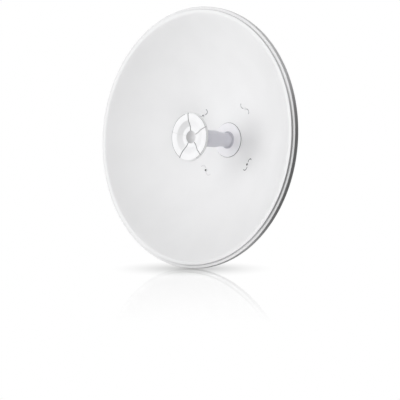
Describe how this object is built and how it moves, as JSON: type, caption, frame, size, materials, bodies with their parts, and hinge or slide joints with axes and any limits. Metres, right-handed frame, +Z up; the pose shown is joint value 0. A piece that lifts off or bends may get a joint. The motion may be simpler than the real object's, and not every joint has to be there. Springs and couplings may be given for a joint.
{
  "type": "dish antenna",
  "caption": "Prime-focus dish antenna: a round drawn bowl with a feed on a central tube, held at its back by a tilting bracket with toothed mast clamps.",
  "frame": {"origin": "centre of the flat back face of the mast bracket's web, which stands before the mast", "axes": "-Y is the way the bowl faces, +Z is up along the mast, +X is to the right of someone facing +Y"},
  "size_m": [0.65, 0.3328, 0.65],
  "materials": {
    "bowl_paint": "fine matt white powder coat",
    "white_plastic": "satin white moulded plastic",
    "grey_plastic": "satin light violet-grey moulded plastic",
    "galvanised": "zinc-plated steel",
    "cast_metal": "sand-cast aluminium",
    "brass": "plated brass"
  },
  "bodies": {
    "root": {"reflector": "bowl_paint", "feed_flange": "white_plastic", "feed_tube": "grey_plastic", "feed_cap_shell": "white_plastic", "feed_cap": "white_plastic", "feed_cap_plug": "grey_plastic", "feed_lock_ring": "cast_metal", "feed_housing": "cast_metal", "coax_connector_left": "brass", "coax_connector_right": "brass", "reflector_bracket": "galvanised", "bowl_bolt_1": "galvanised", "bowl_bolt_2": "galvanised", "bowl_bolt_3": "galvanised", "bowl_bolt_4": "galvanised", "bowl_nut_1": "galvanised", "bowl_nut_2": "galvanised", "bowl_nut_3": "galvanised", "bowl_nut_4": "galvanised", "mast_bracket": "galvanised", "pivot_bolt_left": "galvanised", "pivot_bolt_right": "galvanised", "pivot_nut_left": "galvanised", "pivot_nut_right": "galvanised", "tilt_bolt_left": "galvanised", "tilt_bolt_right": "galvanised", "tilt_nut_left": "galvanised", "tilt_nut_right": "galvanised", "mast_clamp_lower": "galvanised", "mast_clamp_upper": "galvanised", "clamp_bolt_lower_left": "galvanised", "clamp_bolt_lower_right": "galvanised", "clamp_bolt_upper_left": "galvanised", "clamp_bolt_upper_right": "galvanised", "clamp_nut_lower_left": "galvanised", "clamp_nut_lower_right": "galvanised", "clamp_nut_upper_left": "galvanised", "clamp_nut_upper_right": "galvanised"}
  },
  "joints": []
}
